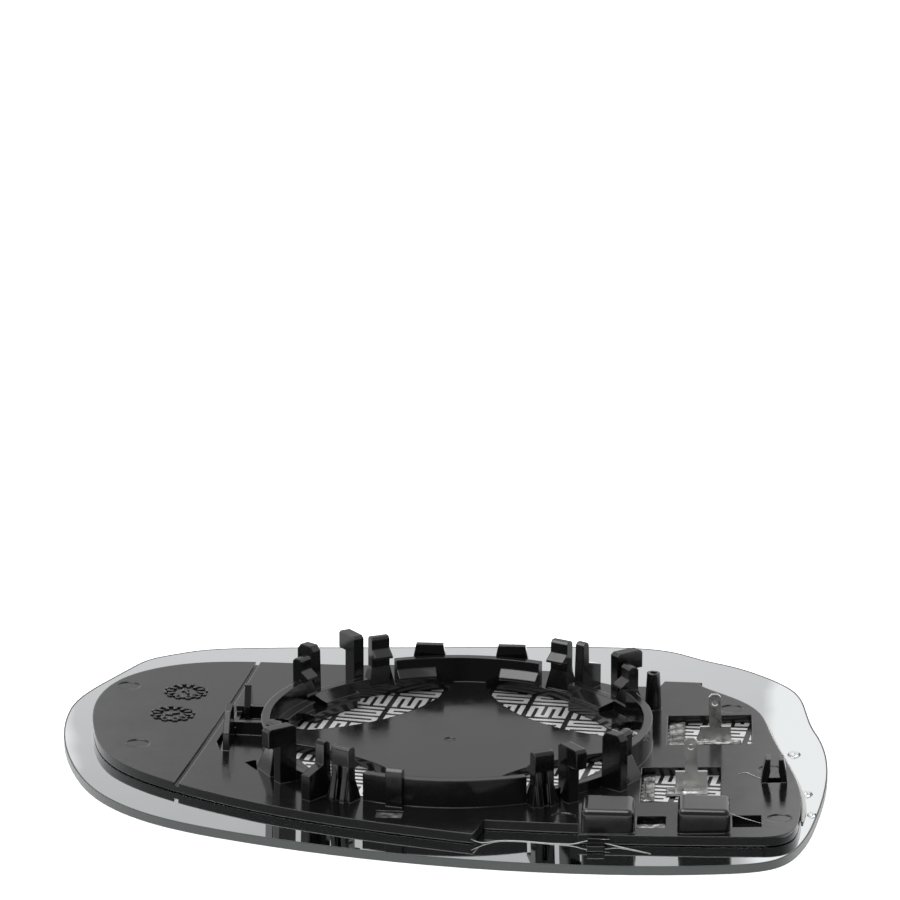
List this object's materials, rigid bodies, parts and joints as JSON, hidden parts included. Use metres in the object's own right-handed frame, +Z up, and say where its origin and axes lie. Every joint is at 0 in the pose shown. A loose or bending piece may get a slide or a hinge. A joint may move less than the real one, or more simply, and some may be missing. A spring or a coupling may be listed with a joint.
{
  "type": "car door mirror glass",
  "caption": "Heated convex car door mirror glass lying face down, with a clip plate for the adjuster, heater film, blade terminals and glue drops.",
  "frame": {"origin": "middle of the outline in plan, at the lowest point of the convex mirror face", "axes": "+X along the longest side towards the terminals, +Y towards the far edge in the picture, +Z up out of the clip side"},
  "size_m": [0.1761, 0.154, 0.0178],
  "materials": {
    "mirror_glass": "polished",
    "heater_film": "satin black polyester film",
    "heater_tracks": "printed silver ink",
    "carrier_plate": "glossy black moulding",
    "terminals": "tin plated",
    "clear_glue": "clear"
  },
  "bodies": {
    "root": {"mirror_glass": "mirror_glass", "heater_film": "heater_film", "heater_tracks": "heater_tracks", "carrier_plate": "carrier_plate", "terminal_far": "terminals", "terminal_near": "terminals", "glue_drop_far": "clear_glue", "glue_drop_middle": "clear_glue", "glue_drop_near": "clear_glue"}
  },
  "joints": []
}
